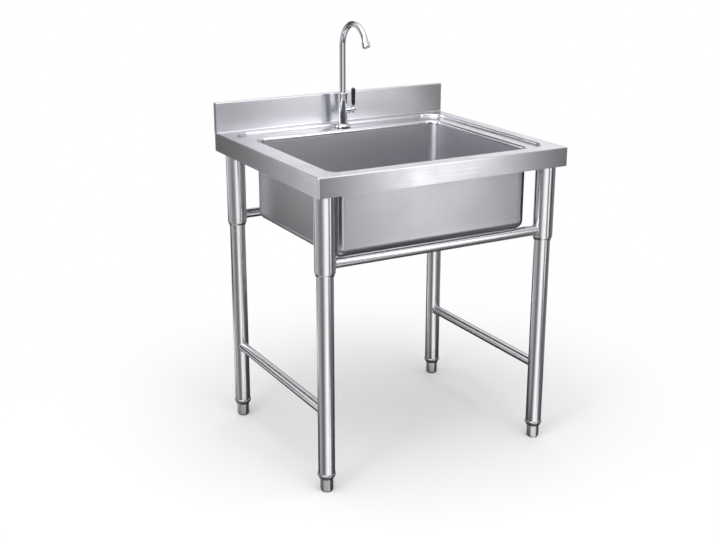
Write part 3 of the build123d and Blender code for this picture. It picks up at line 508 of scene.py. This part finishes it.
class SINK_OT_feet(bpy.types.Operator):
    """Finishes the leg inserts and turns the screw feet with their threaded studs"""
    bl_idname = "sink.feet"
    bl_label = "Screw feet"

    def execute(self, context):
        finish, detail = finishes(context), context.scene.sink_detail
        paint(finish["cast_foot"], *[f"foot_insert_{c}" for c in CORNERS])
        count, barrel, height, curve, edge = 96, 16 * MM, 35 * MM, 6 * MM, 1.2 * MM
        stud_root, stud_crest = 5.3 * MM, 5.95 * MM
        profile = [(barrel - curve + curve * sin(a), curve - curve * cos(a)) for a in QUARTER_TURN]
        profile += [(barrel, height - edge), (barrel - edge / 3, height - edge / 3), (barrel - edge, height)]
        for corner in CORNERS:
            name = f"adjustable_foot_{corner}"
            spot, top = middle(name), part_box(name)[1].z
            rows = []
            for radius, z in profile:
                sizes = [(t, self.size(t, radius, barrel)) for t in turns(count)]
                rows.append([(spot.x + size * cos(t), spot.y + size * sin(t), z) for t, size in sizes])
            rows += thread(spot, stud_root, stud_crest, height, top, detail.foot_pitch, count)
            piece(f"screw_foot_{corner}", skin(rows), finish["cast_foot"], f"foot_{corner}", "cast_foot",
                  name)
        return {"FINISHED"}

    def size(self, turn, radius, barrel):
        """Radius at a turn of the barrel with its six wrench flats, whose edges are worn soft."""
        flats, draw_in, soft = 14.5 * MM, 0.4, 0.8 * MM
        flat = flats / cos((turn + pi / 6) % (pi / 3) - pi / 6) - (barrel - radius) * draw_in
        blend = soft * sqrt(1 + ((flat - radius) / soft) ** 2)
        return min((flat + radius - blend + soft) / 2, flat, radius)


class SINK_OT_waste(bpy.types.Operator):
    """Finishes the waste, its basket and its tailpiece, and cuts the cup's pipe thread"""
    bl_idname = "sink.waste"
    bl_label = "Waste and basket"

    def execute(self, context):
        finish, detail = finishes(context), context.scene.sink_detail
        paint(finish["satin_waste"], "drain_body", "strainer_basket", "basket_knob", "drain_tailpiece",
              "drain_lock_nut")
        paint(finish["black_rubber"], "drain_gasket", "basket_stopper", "tailpiece_gasket")
        paint(finish["white_plastic"], "drain_washer", "tailpiece_slip_nut")
        cup, height, above_slip_nut, count = 42 * MM, 0.75 * MM, 13 * MM, 72
        low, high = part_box("tailpiece_slip_nut")[1].z + above_slip_nut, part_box("drain_lock_nut")[0].z
        cut = threaded_tube(middle("drain_body"), cup, height, low, high, detail.pipe_pitch, count)
        piece("waste_cup_thread", cut, finish["satin_waste"], ROOT, "satin_waste")
        return {"FINISHED"}


class SINK_OT_tap(bpy.types.Operator):
    """Finishes the tap's column, swan neck and lever, cuts the shank's thread and turns the lever's neck"""
    bl_idname = "sink.tap"
    bl_label = "Swan-neck tap"

    def execute(self, context):
        finish, detail = finishes(context), context.scene.sink_detail
        paint(finish["chrome_plate"], "tap_body", "tap_base_flange", "spout_collar", "spout",
              "aerator_housing", "valve_bonnet", "lever_hub", "lever_rod", "lever_index_cap")
        paint(finish["brass"], "tap_lock_nut", "valve_cartridge", "valve_stem", "lever_screw")
        paint(finish["black_grip"], "lever_grip")
        paint(finish["black_rubber"], "tap_base_gasket", "spout_o_rings")
        paint(finish["white_plastic"], "tap_backing_washer", "aerator_screen")
        shank, height, plain_end, count = 10.45 * MM, 0.8 * MM, 1 * MM, 64
        low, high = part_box("tap_body")[0].z + plain_end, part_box("tap_lock_nut")[0].z
        cut = threaded_tube(middle("tap_lock_nut"), shank, height, low, high, detail.pipe_pitch, count)
        piece("tap_shank_thread", cut, finish["brass"], ROOT, "brass")
        piece("lever_hub_neck", self.neck(), finish["chrome_plate"], "lever", "chrome_plate")
        return {"FINISHED"}

    def neck(self):
        """Ring round the valve's stem, from just off the bonnet into the lever's hub."""
        outer, edge, count = 5.5 * MM, 0.3 * MM, 64
        off_stem, off_bonnet, into_hub = 0.05 * MM, 0.15 * MM, 2 * MM
        (low, high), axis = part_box("valve_stem"), middle("valve_stem")
        bore = (high.z - low.z) / 2 + off_stem
        face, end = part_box("valve_bonnet")[1].x + off_bonnet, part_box("lever_hub")[0].x + into_hub
        profile = ((face, bore), (face, outer - edge), (face + edge, outer), (end, outer), (end, bore))
        rows = [[(x, axis.y + r * cos(t), axis.z + r * sin(t)) for t in turns(count)] for x, r in profile]
        return skin(rows, closed_rows=True)


class SINK_OT_studio(bpy.types.Operator):
    """Sets up the floor, the soft studio light, the painted reflections and shade that only the metal shows,
    and the photograph's camera
    """
    bl_idname = "sink.studio"
    bl_label = "Studio"

    def execute(self, context):
        scene, studio = context.scene, context.scene.sink_studio
        scene.view_settings.view_transform = "Standard"
        self.floor(scene, studio)
        self.light(scene, studio)
        # Painted reflections, painted highlights and painted shade, which only the metal shows.
        self.surround(scene)
        self.camera(scene, studio)
        return {"FINISHED"}

    def camera(self, scene, studio):
        """Camera at the photograph's viewing angle."""
        place, yaw, pitch, film_width = (-1.5054, -2.5658, 1.4052), radians(29.01), radians(17.84), 36
        camera = bpy.data.cameras.new("photograph_camera")
        camera.sensor_width = film_width
        camera.lens = studio.lens
        eye = bpy.data.objects.new("photograph_camera", camera)
        eye.location = place
        eye.rotation_euler = (pi / 2 - pitch, 0, -yaw)
        scene.collection.objects.link(eye)
        scene.camera = eye

    def floor(self, scene, studio):
        """Pale floor that keeps the shadow near the sink and runs out into white."""
        white_from, white_at, half = 0.45, 1.3, 40
        material, tree, output = blank_material("Painted studio floor")
        place = node(tree, "ShaderNodeTexCoord").outputs["Object"]
        away = node(tree, "ShaderNodeVectorMath", {0: place}, operation="LENGTH")
        far = node(tree, "ShaderNodeMapRange", {
            "Value": away.outputs["Value"], "From Min": white_from, "From Max": white_at},
            interpolation_type="SMOOTHSTEP")
        share = node(tree, "ShaderNodeMath", {0: far.outputs["Result"], 1: looked_at(tree)},
                     operation="MULTIPLY")
        matt = node(tree, "ShaderNodeBsdfDiffuse", {"Color": [*studio.floor, 1], "Roughness": 0.5})
        white = node(tree, "ShaderNodeEmission", {"Color": WHITE, "Strength": 1.0})
        mixed = node(tree, "ShaderNodeMixShader", {
            0: share.outputs[0], 1: matt.outputs[0], 2: white.outputs[0]})
        tree.links.new(mixed.outputs[0], output.inputs["Surface"])
        corners = [(-half, -half, 0), (half, -half, 0), (half, half, 0), (-half, half, 0)]
        mesh = bpy.data.meshes.new("studio_floor")
        mesh.from_pydata(corners, [], [[0, 1, 2, 3]])
        mesh.materials.append(material)
        plane = bpy.data.objects.new("studio_floor", mesh)
        plane.visible_glossy = False
        scene.collection.objects.link(plane)

    def light(self, scene, studio):
        """Even fill all round and four soft boxes."""
        world = bpy.data.worlds.new("studio_world")
        scene.world = world
        world.use_nodes = True
        tree = world.node_tree
        tree.nodes.clear()
        level = node(tree, "ShaderNodeMapRange", {
            "Value": looked_at(tree), "To Min": studio.fill, "To Max": 1.0})
        sky = node(tree, "ShaderNodeBackground", {"Color": WHITE, "Strength": level.outputs["Result"]})
        node(tree, "ShaderNodeOutputWorld", {"Surface": sky.outputs[0]})
        for name, place, target, size, power in (
            ("top_box", (-0.3, -0.4, 3.2), (0, 0, 0.8), (3.0, 3.0), 42),
            ("front_box", (0.1, -3.6, 1.6), (0, 0, 0.6), (1.2, 2.4), 14),
            ("rear_box", (1.9, 3.3, 2.2), (0, 0, 0.8), (3.0, 2.0), 16),
            ("left_box", (-2.9, -1.6, 1.95), (0, 0, 0.7), (0.9, 1.6), 11),
        ):
            lamp = bpy.data.lights.new(name, "AREA")
            lamp.shape = "RECTANGLE"
            lamp.size, lamp.size_y = size
            lamp.energy = power
            box = bpy.data.objects.new(name, lamp)
            box.location = place
            box.rotation_euler = (Vector(target) - Vector(place)).to_track_quat("-Z", "Y").to_euler()
            box.visible_camera = False
            scene.collection.objects.link(box)

    def surround(self, scene):
        """Painted reflections: glowing sheets hung in a ring round the sink, whose bright and dark bands only
        the metal shows, some brighter than white as painted highlights, and dark sheets near the sink as
        painted shade in the metal. Each cloth has its distance, its lower and upper edge, and its stops:
        degrees from the front to the user's right, with the brightness there."""
        glow, tree, output = blank_material("Painted reflection and shade sheet")
        level = node(tree, "ShaderNodeAttribute", attribute_name="brightness")
        emission = node(tree, "ShaderNodeEmission", {"Color": WHITE, "Strength": level.outputs["Fac"]})
        tree.links.new(emission.outputs[0], output.inputs["Surface"])
        for name, reach, low, high, stops in (
            ("painted_reflection_all_round", 3.0, -5.0, 0.9, (
                (-180, 1.2), (-165, 0.8), (-156, 0.06), (-150, 0.2), (-145, 0.9), (-140, 1.3), (-132, 0.9),
                (-118, 0.55), (-95, 0.55), (-85, 0.3), (-68, 0.18), (-48, 0.3), (-28, 1.3), (-10, 1.6),
                (3, 1.3), (11, 0.35), (18, 0.15), (60, 0.18), (90, 0.32), (120, 0.28), (145, 0.15),
                (160, 0.6), (172, 1.2), (180, 1.2))),
            ("painted_reflection_in_front", 2.95, -0.42, 0.9, (
                (11, 0.35), (18, 0.06), (23, 0.9), (28, 1.95), (33, 1.4), (39, 0.2), (48, 0.06), (58, 0.15))),
            ("painted_reflection_low_in_front", 2.95, -3.0, -0.95, (
                (4, 0.4), (11, 1.7), (20, 1.7), (30, 0.6), (42, 0.15))),
            ("painted_reflection_low_rear_left", 2.95, -1.0, -0.7, ((-178, 1.2), (-150, 1.3), (-142, 1.3))),
            ("painted_reflection_lowest_rear_left", 2.95, -3.0, -1.0, ((-195, 0.06), (-150, 0.06), (-120, 0.1))),
            # Brighter than white here: painted highlights on the bowl's inner corner and on the front faces.
            ("painted_highlight_above_front", 3.0, 0.9, 3.0, (
                (-138, 0.4), (-100, 0.15), (-88, 0.15), (-80, 7.0), (-40, 7.0), (-32, 0.5), (-10, 0.3),
                (8, 0.3), (18, 0.2), (23, 1.5), (27, 5.0), (31, 4.0), (36, 1.0), (42, 0.2), (50, 0.15),
                (56, 0.3))),
            ("painted_reflection_above_rear_left", 3.0, 0.9, 1.6, ((192, 0.1), (206, 0.1), (213, 1.4), (222, 1.8))),
            ("painted_reflection_high_rear_left", 3.0, 1.6, 3.4, ((171, 0.5), (178, 0.08), (206, 0.08), (212, 0.8))),
            ("painted_reflection_behind_tap", 3.0, 0.9, 1.15, ((56, 0.3), (62, 0.1), (150, 0.12), (165, 0.3))),
            ("painted_reflection_above_rear_right", 3.0, 1.15, 3.4, (
                (110, 0.8), (132, 1.3), (145, 1.1), (158, 1.0), (170, 1.0))),
        ):
            points, faces, levels = [], [], []
            for (turn, bright), (next_turn, next_bright) in zip(stops, stops[1:]):
                degrees = next_turn - turn
                for i in range(degrees + 1):
                    angle, share = radians(turn + i), i / degrees
                    points += [(reach * sin(angle), -reach * cos(angle), h) for h in (low, high)]
                    levels += [bright + (next_bright - bright) * share] * 2
                    if i:
                        last = len(points)
                        faces.append([last - 4, last - 2, last - 1, last - 3])
            self.unlit(scene, name, points, faces, levels, glow)
        # Dark sheets as painted shade in the metal: the shadowed floor under the sink, the bowl's front
        # corners and its left wall.
        for name, level, corners in (
            ("painted_shade_below", 0.06, (
                (-0.5, -0.5, -0.3), (1.6, -0.5, -0.3), (1.6, 2.5, -0.3), (-0.5, 2.5, -0.3))),
            ("painted_shade_bowl_corner", 0.05, (
                (-0.288, -0.27, 0.6), (-0.256, -0.27, 0.6), (-0.256, -0.27, 0.745), (-0.288, -0.27, 0.745))),
            ("painted_shade_bowl_right", 0.03, (
                (0.2828, -0.24, 0.58), (0.2828, -0.212, 0.58),
                (0.2828, -0.212, 0.745), (0.2828, -0.24, 0.745))),
            ("painted_shade_left", 0.03, (
                (-0.9, 0.65, 0.0), (-0.9, 1.6, 0.0), (-0.9, 1.6, 0.35), (-0.9, 0.65, 0.35))),
        ):
            self.unlit(scene, name, corners, [[0, 1, 2, 3]], [level] * len(corners), glow)

    def unlit(self, scene, name, points, faces, levels, material):
        """Sheet of painted reflection or painted shade, with a brightness at each point, which throws no
        light or shadow and shows only in metal."""
        mesh = bpy.data.meshes.new(name)
        mesh.from_pydata(points, [], faces)
        mesh.attributes.new("brightness", "FLOAT", "POINT").data.foreach_set("value", levels)
        mesh.materials.append(material)
        sheet = bpy.data.objects.new(name, mesh)
        sheet.visible_camera = sheet.visible_transmission = False
        sheet.visible_diffuse = sheet.visible_shadow = False
        scene.collection.objects.link(sheet)


class SINK_PT_looks(bpy.types.Panel):
    """Lists the sink's finishes and the steps that make its looks"""
    bl_idname = "SINK_PT_looks"
    bl_label = "Commercial sink"
    bl_space_type = "VIEW_3D"
    bl_region_type = "UI"
    bl_category = "Sink"

    def draw(self, context):
        for group in GROUPS:
            settings = getattr(context.scene, group)
            for name in settings.__annotations__:
                self.layout.prop(settings, name)
        for step in STEPS:
            self.layout.operator(step.bl_idname)


GROUPS = {"sink_sheet": SheetFinish, "sink_tube": TubeFinish, "sink_chrome": ChromeFinish,
          "sink_detail": FineDetail, "sink_studio": Studio}
STEPS = (SINK_OT_worktop, SINK_OT_stand, SINK_OT_feet, SINK_OT_waste, SINK_OT_tap, SINK_OT_studio)


def register():
    for kind in (*GROUPS.values(), *STEPS, SINK_PT_looks):
        bpy.utils.register_class(kind)
    for name, kind in GROUPS.items():
        setattr(bpy.types.Scene, name, PointerProperty(type=kind))


def unregister():
    for name in GROUPS:
        delattr(bpy.types.Scene, name)
    for kind in reversed((*GROUPS.values(), *STEPS, SINK_PT_looks)):
        bpy.utils.unregister_class(kind)


def main():
    register()
    bpy.ops.sink.worktop()
    bpy.ops.sink.stand()
    bpy.ops.sink.feet()
    bpy.ops.sink.waste()
    bpy.ops.sink.tap()
    bpy.ops.sink.studio()


if __name__ == "__main__":
    main()
